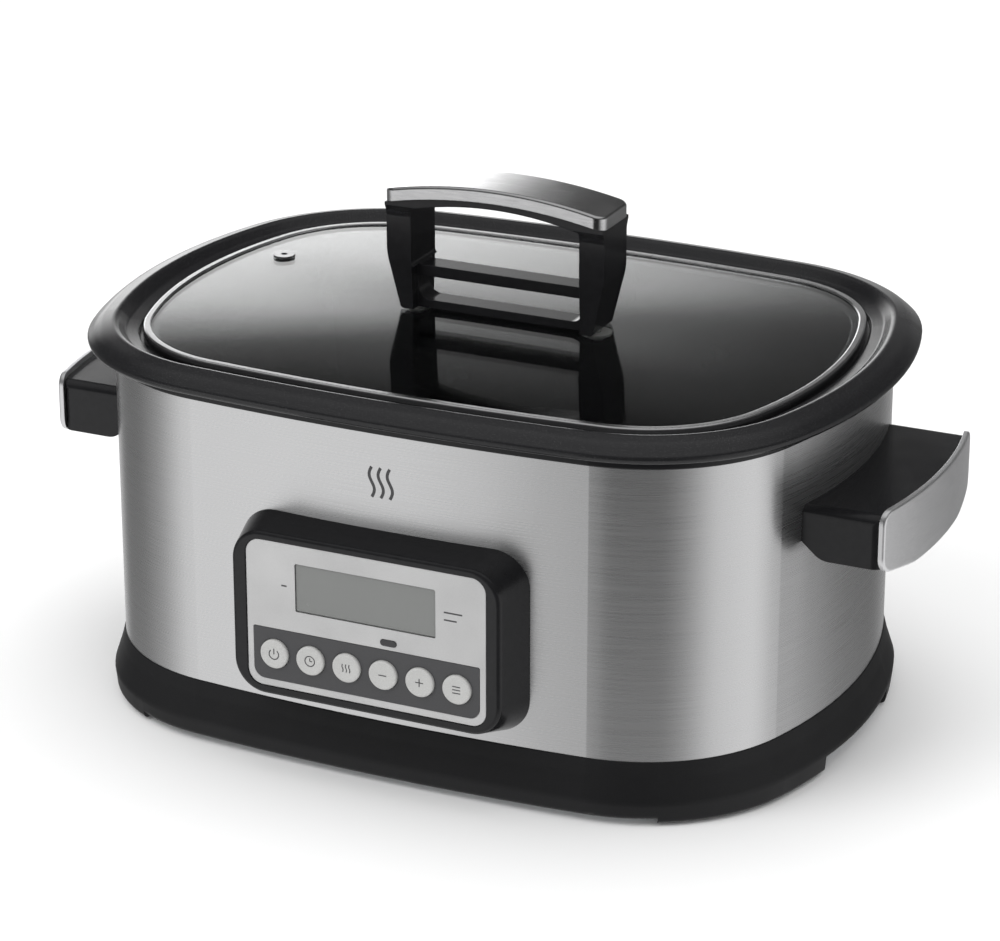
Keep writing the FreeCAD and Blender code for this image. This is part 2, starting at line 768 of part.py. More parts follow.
def arch(rise, z_low, z_high, half, depth):
    """Bar along X whose underside and top are arcs that rise towards the middle."""
    low = [Vector(-half, -depth, z_low), Vector(0, -depth, z_low + rise), Vector(half, -depth, z_low)]
    high = [Vector(half, -depth, z_high), Vector(0, -depth, z_high + rise), Vector(-half, -depth, z_high)]
    edges = [Part.Arc(*low).toShape(), Part.LineSegment(low[2], high[0]).toShape()]
    edges += [Part.Arc(*high).toShape(), Part.LineSegment(high[2], low[0]).toShape()]
    return Part.Face(Part.Wire(edges)).extrude(ALONG_Y * (2 * depth))


def make_lid_handle_frame(cutters):
    foot = HANDLE_HALF - 7
    sides = [(-foot, LID_TOP, 2), (foot, LID_TOP, 2), (HANDLE_HALF, 236, 30), (HANDLE_HALF, 275, 0),
             (-HANDLE_HALF, 275, 0), (-HANDLE_HALF, 236, 30)]
    body = prism_y(sides, -BAR_DEPTH, BAR_DEPTH)
    below_cap = arch(STRIP_RISE, LID_TOP - 20, STRIP_BOTTOM, HANDLE_HALF + 0.5, BAR_DEPTH + 1)
    flat_base = block(-HANDLE_HALF, HANDLE_HALF, -BAR_DEPTH, BAR_DEPTH, LID_TOP, 220)
    body = body.common(below_cap.fuse(flat_base))
    end_view = [(-12.5, LID_TOP, 0), (12.5, LID_TOP, 0), (POST_DEPTH, 232, 40), (POST_DEPTH, 258, 8),
                (BAR_DEPTH - 0.5, 262, 0), (BAR_DEPTH - 0.5, 280, 0), (0.5 - BAR_DEPTH, 280, 0),
                (0.5 - BAR_DEPTH, 262, 0), (-POST_DEPTH, 258, 8), (-POST_DEPTH, 232, 40)]
    body = body.common(prism_x(end_view, -HANDLE_HALF - 1, HANDLE_HALF + 1))
    inner = HANDLE_HALF - POST
    grip = arch(STRIP_RISE - 1, 100, STRIP_BOTTOM - 2.5, inner, BAR_DEPTH + 2)
    grip = grip.common(prism_y(slab(inner, 228.5, 290, 3), -30, 30))
    slot_outline = [(-inner + 1, 209.5, 7), (inner - 1, 209.5, 7), (inner, 222.5, 1), (-inner, 222.5, 1)]
    slot = prism_y(slot_outline, -30, 30)
    beside = ((-30, -RAIL_DEPTH), (RAIL_DEPTH, 30))
    beside_rails = [block(-inner, inner, *depths, LID_TOP, 229) for depths in beside]
    body = without(body, [grip, slot] + beside_rails)
    return without(body, cutters)


def make_lid_handle_cap():
    top = STRIP_BOTTOM + STRIP_THICKNESS
    bar = arch(STRIP_RISE, STRIP_BOTTOM, top, HANDLE_HALF + 0.5, BAR_DEPTH + 0.5)
    upright = [edge for edge in bar.Edges if edge.BoundBox.ZLength > 5 and edge.BoundBox.XLength < 1]
    bar = bar.makeFillet(6, [edge for edge in upright if edge.BoundBox.YLength < 1])
    return bar.makeFillet(1.8, [edge for edge in bar.Edges if edge.BoundBox.ZMin > top - 0.5])


def make_lid_handle_washers():
    under = LID_TOP - GLASS
    washers = []
    for x in LID_SCREW_XS:
        ring = rod(8, Vector(x, 0, under - 1.5), Vector(x, 0, under))
        washers.append(ring.cut(rod(2.2, Vector(x, 0, under - 5), Vector(x, 0, under + 5))))
    return washers


def make_lid_handle_screws():
    head_face = LID_TOP - GLASS - 1.5
    return [screw(Vector(x, 0, head_face), UP, 20, 2.0, 4.5) for x in LID_SCREW_XS]


def make_vent_grommet():
    low = VENT + UP * 198.8
    flange_low = VENT + UP * 203.6
    top = VENT + UP * 204.8
    body = rod(4, low, flange_low).fuse(rod(6, flange_low, top))
    return body.removeSplitter().cut(rod(VENT_RADIUS, low - UP * 5, top + UP * 5))


# ---------------------------------------------------------------- assembly

def build_nodes():
    """All nodes of the slow cooker by name."""
    nodes = {}
    pads = make_rubber_feet()
    base_screws = make_base_screws()
    panel_screws = make_panel_screws()
    board_screws = make_control_board_screws()
    right_screws = make_handle_screws()
    left_screws = [mirrored_x(each) for each in right_screws]
    handle_screws = right_screws + left_screws

    nodes["base_tray"] = make_base_tray(pads, base_screws)
    nodes["rubber_feet"] = group(pads)
    nodes["bottom_plate"] = make_bottom_plate(base_screws)
    nodes["base_screws"] = group(base_screws)
    nodes["cord_gland"] = make_cord_gland()
    nodes["gland_clip"] = make_gland_clip()
    nodes["outer_shell"] = make_outer_shell(handle_screws + panel_screws)
    nodes["rim_collar"] = make_rim_collar()
    nodes["heating_well"] = make_heating_well()
    nodes["band_heater"] = well_wrap(0.2, 3, 95, 135)
    nodes["insulation_wrap"] = well_wrap(3.6, 6, 88, 178)
    nodes["temperature_sensor"] = make_temperature_sensor()
    nodes["sensor_clip"] = make_sensor_clip()
    nodes["thermal_fuse"] = make_thermal_fuse()
    nodes["board_posts"] = group(make_board_posts())
    nodes["power_board"] = make_power_board()
    nodes["power_board_screws"] = group(make_power_board_screws())
    nodes["relay"] = make_relay()
    nodes["transformer"] = make_transformer()
    nodes["terminal_block"] = make_terminal_block()
    nodes["wiring_harness"] = make_wiring_harness()

    nodes["panel_frame"] = make_panel_frame(panel_screws + board_screws)
    nodes["panel_faceplate"] = make_panel_faceplate()
    nodes["button_strip"] = make_button_strip()
    nodes["display_window"] = make_display_window()
    nodes["lcd_module"] = make_lcd_module()
    nodes["indicator_light"] = make_indicator_light()
    nodes["control_board"] = without(make_control_board(), board_screws)
    nodes["control_board_screws"] = group(board_screws)
    nodes["tact_switches"] = group(make_tact_switches())
    nodes["panel_screws"] = group(panel_screws)
    for index, x in enumerate(button_xs()):
        nodes[f"button_{index + 1}"] = make_button(x)

    bracket = make_handle_bracket(right_screws)
    cap = make_handle_cap()
    nodes["right_handle_bracket"] = bracket
    nodes["left_handle_bracket"] = mirrored_x(bracket)
    nodes["right_handle_cap"] = cap
    nodes["left_handle_cap"] = mirrored_x(cap)
    nodes["handle_screws"] = group(handle_screws)

    nodes["cooking_pot"] = make_cooking_pot()
    lid_screws = make_lid_handle_screws()
    grommet = make_vent_grommet()
    steam_hole = rod(VENT_RADIUS, VENT, VENT + UP * 300)
    nodes["lid_glass"] = make_lid_glass(lid_screws + [grommet, steam_hole])
    nodes["lid_rim_band"] = make_lid_rim_band()
    nodes["lid_handle_frame"] = make_lid_handle_frame(lid_screws)
    nodes["lid_handle_cap"] = make_lid_handle_cap()
    nodes["lid_handle_washers"] = group(make_lid_handle_washers())
    nodes["lid_handle_screws"] = group(lid_screws)
    nodes["vent_grommet"] = grommet
    return nodes


def main():
    os.makedirs("parts", exist_ok=True)
    for name, shape in build_nodes().items():
        box = shape.BoundBox
        print(f"{name:24s} solids {len(shape.Solids)} valid {shape.isValid()}", end=" ")
        print(f"volume {shape.Volume / 1000:.2f} cm3 x {box.XMin:.1f} {box.XMax:.1f}", end=" ")
        print(f"y {box.YMin:.1f} {box.YMax:.1f} z {box.ZMin:.1f} {box.ZMax:.1f}")
        shape.exportStep(f"parts/{name}.step")


main()
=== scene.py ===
import bisect
import json
import math

import bmesh
import bpy
from mathutils import Matrix, Vector


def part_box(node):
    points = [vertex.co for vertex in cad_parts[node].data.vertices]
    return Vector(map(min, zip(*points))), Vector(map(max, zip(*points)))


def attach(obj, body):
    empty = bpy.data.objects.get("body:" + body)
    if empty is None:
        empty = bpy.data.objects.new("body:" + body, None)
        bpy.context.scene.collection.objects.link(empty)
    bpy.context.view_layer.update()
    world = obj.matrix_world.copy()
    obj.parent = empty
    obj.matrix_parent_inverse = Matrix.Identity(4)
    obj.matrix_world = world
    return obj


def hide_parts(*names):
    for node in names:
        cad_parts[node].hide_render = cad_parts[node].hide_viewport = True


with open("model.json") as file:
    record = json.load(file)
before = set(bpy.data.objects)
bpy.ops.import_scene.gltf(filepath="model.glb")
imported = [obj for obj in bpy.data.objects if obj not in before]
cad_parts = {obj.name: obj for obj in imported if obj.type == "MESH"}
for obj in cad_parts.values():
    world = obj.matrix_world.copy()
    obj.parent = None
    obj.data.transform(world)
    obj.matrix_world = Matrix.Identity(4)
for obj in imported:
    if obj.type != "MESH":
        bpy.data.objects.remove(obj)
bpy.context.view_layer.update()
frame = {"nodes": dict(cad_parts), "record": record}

# A slow cooker in a white studio: steel body, black trim, glass lid, silver panel.
# Metres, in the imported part's own frame.

MM = 0.001
NODES = frame["nodes"]

# Body plan, on the front: the long side bows outwards with this radius.
FRONT_RADIUS = 1255.5 * MM

# Glass lid pane
PANE_THICKNESS = 4 * MM
PANE_RISE = 2.3 * MM
PANE_EDGE_ROUND = 0.6 * MM
PANE_RINGS = 16
PANE_SIDES = 180
PANE_EDGE_FROM = 0.95
LID_SCREW_X = 52 * MM
SCREW_HOLE = 2.4 * MM
VENT_HOLE = 4 * MM

# Camera
CAMERA_AZIMUTH = 25.02
CAMERA_ELEVATION = 21.41
CAMERA_PLACE = (0.77833, -1.67482, 0.84167)
CAMERA_LENS = 134.19


# ---------------------------------------------------------------- node kit

# Sockets of a Mix node that mixes colours
MIX_FACTOR = 0
MIX_FIRST = 6
MIX_SECOND = 7
MIX_RESULT = 2


def add_node(tree, kind, settings=None, inputs=None):
    """A node with its properties set, and its inputs set or linked."""
    node = tree.nodes.new(kind)
    for key, value in (settings or {}).items():
        setattr(node, key, value)
    for key, value in (inputs or {}).items():
        if isinstance(value, bpy.types.NodeSocket):
            tree.links.new(value, node.inputs[key])
        else:
            node.inputs[key].default_value = value
    return node


def mixed_colors(tree, factor, first, second):
    """Colour from first to second by a linked factor. Each is a socket, a colour or a grey."""
    node = add_node(tree, "ShaderNodeMix", {"data_type": "RGBA"})
    tree.links.new(factor, node.inputs[MIX_FACTOR])
    for socket, value in ((MIX_FIRST, first), (MIX_SECOND, second)):
        if isinstance(value, bpy.types.NodeSocket):
            tree.links.new(value, node.inputs[socket])
        else:
            color = value if isinstance(value, tuple) else (value, value, value)
            node.inputs[socket].default_value = (*color, 1.0)
    return node.outputs[MIX_RESULT]


class Finish:
    """One procedural material: a Principled shader and the nodes that feed it."""

    def __init__(self, name, color, roughness, **constants):
        self.material = bpy.data.materials.new(name)
        self.material.use_nodes = True
        self.tree = self.material.node_tree
        self.shader = self.tree.nodes["Principled BSDF"]
        self.rounded = None
        self.shader.inputs["Base Color"].default_value = (*color, 1.0)
        self.shader.inputs["Roughness"].default_value = roughness
        for socket, value in constants.items():
            self.shader.inputs[socket.replace("_", " ")].default_value = value

    def add(self, kind, settings=None, inputs=None):
        """A node of this material, with its properties and inputs set."""
        return add_node(self.tree, kind, settings, inputs)

    def drive(self, socket, value):
        self.tree.links.new(value, self.shader.inputs[socket])

    def noise(self, scale, detail=3.0, stretch=(1.0, 1.0, 1.0)):
        """Noise in the part's own space, scale per metre, stretched along each axis."""
        place = self.add("ShaderNodeTexCoord").outputs["Object"]
        mapped = self.add("ShaderNodeMapping", inputs={"Vector": place, "Scale": stretch})
        settings = {"Vector": mapped.outputs["Vector"], "Scale": scale, "Detail": detail}
        return self.add("ShaderNodeTexNoise", inputs=settings).outputs["Fac"]

    def graded(self, value, low, high, start=0.3, end=0.7):
        """A value between start and end, as a number between low and high."""
        limits = {"Value": value, "From Min": start, "From Max": end, "To Min": low, "To Max": high}
        return self.add("ShaderNodeMapRange", inputs=limits).outputs["Result"]

    def mixed(self, factor, first, second):
        """Colour from first to second, by a factor of 0 to 1."""
        return mixed_colors(self.tree, factor, first, second)

    def color_by(self, value, first, second):
        """Base colour that goes from first to second as a value goes through its middle range."""
        self.drive("Base Color", self.mixed(self.graded(value, 0.0, 1.0), first, second))

    def soft_edges(self, radius):
        """Normals that round each hard edge off."""
        self.rounded = self.add("ShaderNodeBevel", {"samples": 4}, {"Radius": radius}).outputs["Normal"]
        self.drive("Normal", self.rounded)

    def edge_mask(self):
        """1 along the edges that soft_edges rounds, 0 on the faces between them."""
        flat = self.add("ShaderNodeNewGeometry").outputs["Normal"]
        settings = {"operation": "DOT_PRODUCT"}
        alike = self.add("ShaderNodeVectorMath", settings, {0: self.rounded, 1: flat})
        return self.graded(alike.outputs["Value"], 1.0, 0.0, 0.8, 0.99)

    def relief(self, height, depth):
        """Bump of a depth in metres, on top of the relief and soft edges so far."""
        inputs = {"Height": height, "Distance": depth, "Strength": 1.0}
        before = self.shader.inputs["Normal"].links
        if before:
            inputs["Normal"] = before[0].from_socket
        self.drive("Normal", self.add("ShaderNodeBump", inputs=inputs).outputs["Normal"])


# ---------------------------------------------------------------- metals

def shell_steel(name):
    """Brushed steel: its scratches run round the body, so its highlights are upright streaks."""
    grain = {"Anisotropic": 0.55, "Anisotropic_Rotation": 0.25}
    finish = Finish(name, (0.7, 0.7, 0.705), 0.3, Metallic=1.0, **grain)
    tangent = finish.add("ShaderNodeTangent", {"direction_type": "RADIAL", "axis": "Z"})
    finish.drive("Tangent", tangent.outputs["Tangent"])
    scratches = finish.noise(2600, 4.0, (0.008, 0.008, 1.0))
    cloud = finish.noise(24, 2.0)
    finish.drive("Roughness", finish.graded(scratches, 0.25, 0.32))
    streaks = finish.mixed(finish.graded(scratches, 0.0, 1.0), (0.675, 0.675, 0.68), (0.72, 0.72, 0.725))
    finish.drive("Base Color", finish.mixed(finish.graded(cloud, 0.0, 0.3), streaks, (0.68, 0.68, 0.685)))
    finish.relief(scratches, 0.0012 * MM)
    return finish


def satin_metal(name):
    """Satin grip caps with a lengthwise grain."""
    finish = Finish(name, (0.92, 0.92, 0.93), 0.4, Metallic=1.0)
    fine = finish.noise(1800, 4.0, (1.0, 0.02, 1.0))
    finish.drive("Roughness", finish.graded(fine, 0.36, 0.46))
    finish.color_by(fine, (0.9, 0.9, 0.91), (0.95, 0.95, 0.96))
    finish.soft_edges(0.5 * MM)
    finish.relief(fine, 0.002 * MM)
    return finish


def polished_metal(name):
    """Bright metal with faint polishing swirls and smudges."""
    finish = Finish(name, (0.62, 0.62, 0.625), 0.2, Metallic=1.0)
    smudge = finish.noise(60, 4.0)
    scratch = finish.noise(900, 2.0, (0.1, 1.0, 1.0))
    finish.drive("Roughness", finish.graded(smudge, 0.18, 0.25))
    finish.color_by(scratch, (0.59, 0.59, 0.595), (0.65, 0.65, 0.655))
    finish.soft_edges(0.4 * MM)
    finish.relief(scratch, 0.001 * MM)
    return finish


def faceplate_silver(name):
    """Fine-blasted anodised sheet."""
    finish = Finish(name, (0.7, 0.7, 0.7), 0.4, Metallic=0.85)
    grit = finish.noise(5200, 2.0)
    cloud = finish.noise(40, 2.0)
    finish.drive("Roughness", finish.graded(cloud, 0.34, 0.44))
    finish.color_by(grit, (0.64, 0.64, 0.64), (0.76, 0.76, 0.76))
    finish.soft_edges(0.3 * MM)
    finish.relief(grit, 0.004 * MM)
    return finish


def galvanised(name):
    """Zinc sheet with its large crystal spangle."""
    finish = Finish(name, (0.58, 0.6, 0.62), 0.4, Metallic=0.9)
    place = finish.add("ShaderNodeTexCoord").outputs["Object"]
    spangle = finish.add("ShaderNodeTexVoronoi", inputs={"Vector": place, "Scale": 130.0})
    shade = finish.graded(spangle.outputs["Color"], 0.0, 1.0, 0.0, 1.0)
    finish.drive("Base Color", finish.mixed(shade, (0.46, 0.48, 0.5), (0.66, 0.68, 0.7)))
    finish.drive("Roughness", finish.graded(shade, 0.3, 0.5, 0.0, 1.0))
    finish.relief(finish.noise(900), 0.01 * MM)
    return finish


def aluminised_well(name):
    """Pressed sheet with drawing marks and a little heat tint."""
    finish = Finish(name, (0.55, 0.55, 0.56), 0.45, Metallic=0.9)
    drawn = finish.noise(1400, 3.0, (1.0, 1.0, 0.03))
    heat = finish.noise(14, 3.0)
    finish.drive("Roughness", finish.graded(drawn, 0.38, 0.55))
    finish.color_by(heat, (0.56, 0.56, 0.57), (0.5, 0.46, 0.4))
    finish.relief(drawn, 0.01 * MM)
    return finish


def zinc_screw(name):
    finish = Finish(name, (0.62, 0.62, 0.64), 0.35, Metallic=1.0)
    finish.soft_edges(0.2 * MM)
    mottle = finish.noise(1500, 3.0)
    finish.drive("Roughness", finish.graded(mottle, 0.28, 0.45))
    shade = finish.mixed(finish.graded(mottle, 0.0, 1.0), (0.5, 0.5, 0.53), (0.7, 0.7, 0.72))
    finish.drive("Base Color", finish.mixed(finish.edge_mask(), shade, (0.8, 0.8, 0.81)))
    return finish


def transformer_metal(name):
    """Stacked laminations."""
    finish = Finish(name, (0.4, 0.38, 0.34), 0.5, Metallic=0.8)
    layers = finish.noise(900, 1.0, (1.0, 0.02, 0.02))
    finish.color_by(layers, (0.3, 0.28, 0.25), (0.5, 0.47, 0.42))
    finish.relief(layers, 0.03 * MM)
    return finish


def brass_post(name):
    finish = Finish(name, (0.75, 0.6, 0.3), 0.3, Metallic=1.0)
    turned = finish.noise(2500, 2.0, (0.05, 0.05, 1.0))
    finish.drive("Roughness", finish.graded(turned, 0.22, 0.4))
    finish.color_by(turned, (0.68, 0.52, 0.24), (0.8, 0.66, 0.36))
    return finish


# ---------------------------------------------------------------- plastics, rubber and glass

def moulded(name, color, roughness, edge, grain, depth, worn):
    """Moulded plastic: fine texture, clouded gloss, and edges a little lighter with wear."""
    finish = Finish(name, color, sum(roughness) / 2)
    finish.soft_edges(edge)
    cloud = finish.noise(30, 3.0)
    texture = finish.noise(grain, 2.0)
    finish.drive("Roughness", finish.graded(cloud, *roughness))
    dark = tuple(each * 0.82 for each in color)
    tinted = finish.mixed(finish.graded(texture, 0.0, 1.0), dark, color)
    lighter = tuple(min(1.0, each * worn) for each in color)
    finish.drive("Base Color", finish.mixed(finish.edge_mask(), tinted, lighter))
    finish.relief(texture, depth)
    return finish


def base_plastic(name):
    """Black plastic with a fine moulded grain."""
    finish = moulded(name, (0.011, 0.011, 0.012), (0.42, 0.54), 0.8 * MM, 1400, 0.02 * MM, 1.6)
    finish.shader.inputs["Specular IOR Level"].default_value = 0.25
    return finish


def gloss_black(name):
    finish = moulded(name, (0.012, 0.012, 0.013), (0.14, 0.22), 0.7 * MM, 260, 0.004 * MM, 1.8)
    finish.shader.inputs["Specular IOR Level"].default_value = 0.3
    return finish


def strip_grey(name):
    return moulded(name, (0.055, 0.055, 0.058), (0.34, 0.42), 0.2 * MM, 3000, 0.004 * MM, 1.2)


def component_black(name):
    return moulded(name, (0.04, 0.04, 0.04), (0.45, 0.6), 0.4 * MM, 1600, 0.02 * MM, 1.5)


def lamp_dark(name):
    return moulded(name, (0.03, 0.03, 0.032), (0.08, 0.14), 0.4 * MM, 500, 0.002 * MM, 1.2)


def button_silver(name):
    return moulded(name, (0.5, 0.5, 0.49), (0.28, 0.36), 0.4 * MM, 2200, 0.004 * MM, 1.15)


def display_dark(name):
    return moulded(name, (0.1, 0.11, 0.11), (0.4, 0.5), 0.3 * MM, 1200, 0.01 * MM, 1.2)


def washer_silicone(name):
    return moulded(name, (0.6, 0.6, 0.58), (0.5, 0.62), 0.3 * MM, 1200, 0.02 * MM, 1.1)


def wire_white(name):
    return moulded(name, (0.75, 0.75, 0.72), (0.45, 0.55), 0.2 * MM, 700, 0.03 * MM, 1.1)


def rubber_black(name):
    """Soft rubber with a matt, slightly dusty face."""
    finish = moulded(name, (0.022, 0.022, 0.022), (0.62, 0.78), 0.5 * MM, 2400, 0.05 * MM, 2.2)
    finish.shader.inputs["Specular IOR Level"].default_value = 0.35
    return finish


def pot_coating(name):
    """Black non-stick coating: faint flecks and a soft orange-peel gloss."""
    finish = Finish(name, (0.013, 0.013, 0.014), 0.2, Specular_IOR_Level=0.4)
    finish.soft_edges(0.6 * MM)
    peel = finish.noise(420, 2.0)
    fleck = finish.noise(2600, 1.0)
    cloud = finish.noise(18, 3.0)
    finish.drive("Roughness", finish.graded(cloud, 0.16, 0.28))
    sparse = finish.graded(fleck, 0.0, 1.0, 0.66, 0.72)
    flecked = finish.mixed(sparse, (0.011, 0.011, 0.012), (0.05, 0.05, 0.05))
    finish.drive("Base Color", finish.mixed(finish.edge_mask(), flecked, (0.024, 0.024, 0.025)))
    finish.relief(peel, 0.008 * MM)
    return finish


def display_film(name):
    """Grey liquid-crystal glass with its faint dot grid."""
    finish = Finish(name, (0.19, 0.195, 0.19), 0.22, Coat_Weight=0.2, Coat_Roughness=0.1)
    place = finish.add("ShaderNodeTexCoord").outputs["Object"]
    cell = finish.add("ShaderNodeTexVoronoi", inputs={"Vector": place, "Scale": 1600.0, "Randomness": 0.0})
    grid = finish.graded(cell.outputs["Distance"], 0.0, 1.0, 0.2, 0.7)
    finish.drive("Base Color", finish.mixed(grid, (0.2, 0.205, 0.2), (0.17, 0.175, 0.17)))
    finish.drive("Roughness", finish.graded(finish.noise(50), 0.18, 0.28))
    finish.soft_edges(0.4 * MM)
    return finish


def clear_glass(name):
    """Tempered glass with a slight roller wave, and dust that shows only in its roughness."""
    finish = Finish(name, (0.93, 0.95, 0.95), 0.02, Transmission_Weight=1.0, IOR=1.5)
    wave = finish.noise(7, 1.0)
    dust = finish.noise(700, 3.0)
    finish.drive("Roughness", finish.graded(dust, 0.01, 0.05))
    finish.relief(wave, 0.05 * MM)
    return finish


def mica_heater(name):
    """Mica bands in thin flaky sheets."""
    finish = Finish(name, (0.45, 0.4, 0.3), 0.5)
    flake = finish.noise(160, 4.0, (1.0, 1.0, 3.0))
    finish.color_by(flake, (0.34, 0.29, 0.2), (0.55, 0.5, 0.4))
    finish.drive("Roughness", finish.graded(flake, 0.35, 0.6))
    finish.relief(flake, 0.1 * MM)
    return finish


def glass_wool(name):
    """Matted white fibres."""
    finish = Finish(name, (0.82, 0.81, 0.75), 0.95)
    fibre = finish.noise(700, 6.0, (1.0, 1.0, 0.25))
    clump = finish.noise(70, 3.0)
    finish.color_by(clump, (0.72, 0.7, 0.62), (0.88, 0.87, 0.82))
    finish.relief(clump, 1.2 * MM)
    finish.relief(fibre, 0.4 * MM)
    return finish


def board_green(name):
    """Circuit board: solder mask over copper tracks."""
    finish = Finish(name, (0.03, 0.17, 0.07), 0.3)
    place = finish.add("ShaderNodeTexCoord").outputs["Object"]
    cells = finish.add("ShaderNodeTexVoronoi", {"distance": "CHEBYCHEV"}, {"Vector": place, "Scale": 110.0})
    tracks = finish.graded(cells.outputs["Distance"], 0.0, 1.0, 0.42, 0.46)
    finish.drive("Base Color", finish.mixed(tracks, (0.02, 0.13, 0.05), (0.05, 0.24, 0.1)))
    finish.drive("Roughness", finish.graded(finish.noise(200), 0.22, 0.36))
    finish.relief(tracks, 0.03 * MM)
    return finish


SLOT_FINISHES = {
    "brushed_steel_shell": shell_steel, "base_plastic": base_plastic, "gloss_black": gloss_black,
    "pot_coating": pot_coating, "clear_glass": clear_glass, "polished_metal": polished_metal,
    "satin_metal": satin_metal, "faceplate_silver": faceplate_silver, "strip_grey": strip_grey,
    "display_film": display_film, "display_dark": display_dark, "button_silver": button_silver,
    "lamp_dark": lamp_dark, "rubber_black": rubber_black, "galvanised": galvanised,
    "aluminised_well": aluminised_well, "mica_heater": mica_heater, "glass_wool": glass_wool,
    "zinc_screw": zinc_screw, "board_green": board_green, "component_black": component_black,
    "transformer_metal": transformer_metal, "brass_post": brass_post, "wire_white": wire_white,
    "washer_silicone": washer_silicone,
}


def finish_nodes():
    """Every CAD node gets the material of its slot in the record."""
    materials = {}
    for slot, make in SLOT_FINISHES.items():
        materials[slot] = make(slot).material
    for subpart in frame["record"]["subparts"]:
        node = NODES[subpart["node"]]
        node.data.materials.clear()
        node.data.materials.append(materials[subpart["material_slot"]])
    return materials


# ---------------------------------------------------------------- lid pane

def outer_wall(node, low, high):
    """A round node's outer wall between two heights, as (direction, distance from the middle)."""
    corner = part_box(node.name)[1]
    wall = []
    for vertex in node.data.vertices:
        point = node.matrix_world @ vertex.co
        out = (point.x / corner.x) ** 2 + (point.y / corner.y) ** 2
        if low < point.z < high and out > PANE_EDGE_FROM:
            wall.append((math.atan2(point.y, point.x), point.xy.length))
    wall.sort()
    turn = 2 * math.pi
    return [(wall[-1][0] - turn, wall[-1][1])] + wall + [(wall[0][0] + turn, wall[0][1])]


def distance_at(wall, direction):
    """Distance to the wall in a direction, between the two corners either side of it."""
    index = bisect.bisect_left(wall, (direction, 0.0))
    before, after = wall[index - 1], wall[index]
    span = after[0] - before[0]
    share = (direction - before[0]) / span if span > 0 else 0.0
    return before[1] + (after[1] - before[1]) * share


def dome_mesh(name, wall, corner, thickness):
    """A pane that rises smoothly from its edge to the middle, as rings of points about the middle.
    The rise follows a rounded rectangle as wide and as deep as the pane's box."""
    vertices = []
    faces = []
    starts = []
    for drop in (0.0, thickness):
        starts.append(len(vertices))
        vertices.append((0.0, 0.0, corner.z - drop))
        for ring in range(1, PANE_RINGS + 1):
            share = ring / PANE_RINGS
            for side in range(PANE_SIDES):
                direction = -math.pi + 2 * math.pi * side / PANE_SIDES
                reach = distance_at(wall, direction) * share
                x = reach * math.cos(direction)
                y = reach * math.sin(direction)
                fall = math.sqrt((x / corner.x) ** 4 + (y / corner.y) ** 4)
                vertices.append((x, y, corner.z - PANE_RISE * fall - drop))
    for start, facing in zip(starts, (1, -1)):
        for side in range(PANE_SIDES):
            following = (side + 1) % PANE_SIDES
            faces.append((start, start + 1 + side, start + 1 + following)[::facing])
            for ring in range(PANE_RINGS - 1):
                inner = start + 1 + ring * PANE_SIDES
                outer = inner + PANE_SIDES
                faces.append((inner + side, outer + side, outer + following, inner + following)[::facing])
    edges = [start + 1 + (PANE_RINGS - 1) * PANE_SIDES for start in starts]
    for side in range(PANE_SIDES):
        following = (side + 1) % PANE_SIDES
        faces.append((edges[0] + side, edges[1] + side, edges[1] + following, edges[0] + following))
    mesh = bpy.data.meshes.new(name)
    mesh.from_pydata(vertices, [], faces)
    mesh.validate()
    return mesh


def drilled(piece, holes):
    """Cut upright round holes, each (x, y, radius), right through a piece."""
    shape = bmesh.new()
    for x, y, radius in holes:
        place = Matrix.Translation((x, y, 0.0))
        bmesh.ops.create_cone(
            shape, cap_ends=True, segments=48, radius1=radius, radius2=radius, depth=1.0, matrix=place)
    cutter_mesh = bpy.data.meshes.new("drill")
    shape.to_mesh(cutter_mesh)
    shape.free()
    cutter = bpy.data.objects.new("drill", cutter_mesh)
    bpy.context.scene.collection.objects.link(cutter)
    cut = piece.modifiers.new("holes", "BOOLEAN")
    cut.operation = "DIFFERENCE"
    cut.object = cutter
    shown = piece.evaluated_get(bpy.context.evaluated_depsgraph_get())
    result = bpy.data.meshes.new_from_object(shown)
    piece.modifiers.clear()
    piece.data = result
    bpy.data.objects.remove(cutter)
    bpy.data.meshes.remove(cutter_mesh)


def make_pane(material):
    """The lid's glass as one smooth shallow dome, in place of the CAD pane."""
    node = NODES["lid_glass"]
    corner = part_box("lid_glass")[1]
    edge_top = corner.z - PANE_RISE
    wall_top = edge_top - PANE_EDGE_ROUND
    wall = outer_wall(node, wall_top - 0.03 * MM, wall_top + 0.03 * MM)
    mesh = dome_mesh("lid_pane", wall, corner, PANE_THICKNESS)
    piece = bpy.data.objects.new("lid_pane", mesh)
    bpy.context.scene.collection.objects.link(piece)
    low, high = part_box("vent_grommet")
    vent = (low + high) / 2
    holes = [(vent.x, vent.y, VENT_HOLE)]
    for side in (-1, 1):
        holes.append((side * LID_SCREW_X, 0.0, SCREW_HOLE))
    drilled(piece, holes)
    piece.data.materials.clear()
    piece.data.materials.append(material)
    piece.data.shade_smooth()
    piece.data.set_sharp_from_angle(angle=math.radians(30))
    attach(piece, "lid")
    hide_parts("lid_glass")


# ---------------------------------------------------------------- printed marks

INK_SLOT = "strip_grey"


def ribbon_sides(points, width):
    """Left and right edges of a stroke of a width along a list of flat points."""
    left = []
    right = []
    for index, point in enumerate(points):
        before = points[max(index - 1, 0)]
        after = points[min(index + 1, len(points) - 1)]
        along = (after - before).normalized()
        across = Vector((-along.y, along.x)) * (width / 2)
        left.append(point + across)
        right.append(point - across)
    return left, right


